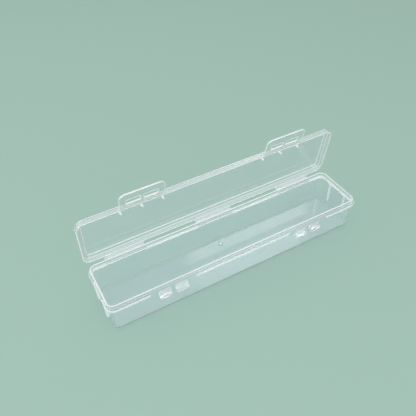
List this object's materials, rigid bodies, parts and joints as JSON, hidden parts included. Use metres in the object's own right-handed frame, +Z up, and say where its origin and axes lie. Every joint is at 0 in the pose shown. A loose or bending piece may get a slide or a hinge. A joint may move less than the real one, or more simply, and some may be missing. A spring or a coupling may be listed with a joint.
{
  "type": "hinged brush box",
  "caption": "Long clear moulded box with rounded corners, a lid on film hinges along one side, and windowed snap latches that hook over catches on the front wall.",
  "frame": {"origin": "centre of the tray's underside, on the table", "axes": "+X along the box's length, towards its right end; +Y towards the hinges; +Z up"},
  "size_m": [0.2412, 0.06, 0.0983],
  "materials": {
    "clear_moulding": "clear, slightly milky polypropylene, smooth",
    "clear_ribs": "clear polypropylene, brighter where it is thick",
    "hinge_film": "clear polypropylene, whitened where it bends"
  },
  "bodies": {
    "tray": {"tray": "clear_moulding", "end_ribs_left": "clear_ribs", "end_ribs_right": "clear_ribs", "catches_left": "clear_ribs", "catches_right": "clear_ribs", "hinge_film_left": "hinge_film", "hinge_film_middle": "hinge_film", "hinge_film_right": "hinge_film"},
    "lid": {"lid": "clear_moulding", "locating_pins_left": "clear_ribs", "locating_pins_right": "clear_ribs", "corner_pins": "clear_ribs", "latch_film_left": "hinge_film", "latch_film_right": "hinge_film"},
    "latch_left": {"latch_left": "clear_moulding"},
    "latch_right": {"latch_right": "clear_moulding"}
  },
  "joints": [
    {"name": "lid_hinge", "type": "hinge", "parent": "tray", "child": "lid", "pos_m": [0, 0.0282, 0.0276], "axis": [-1, 0, 0], "range_deg": [-81, 99], "deforming": ["hinge_film_left", "hinge_film_middle", "hinge_film_right"]},
    {"name": "latch_left_hinge", "type": "hinge", "parent": "lid", "child": "latch_left", "pos_m": [-0.0656, 0.01988, 0.08075], "axis": [1, 0, 0], "range_deg": [-8, 82], "deforming": ["latch_film_left"]},
    {"name": "latch_right_hinge", "type": "hinge", "parent": "lid", "child": "latch_right", "pos_m": [0.0656, 0.01988, 0.08075], "axis": [1, 0, 0], "range_deg": [-8, 82], "deforming": ["latch_film_right"]}
  ]
}
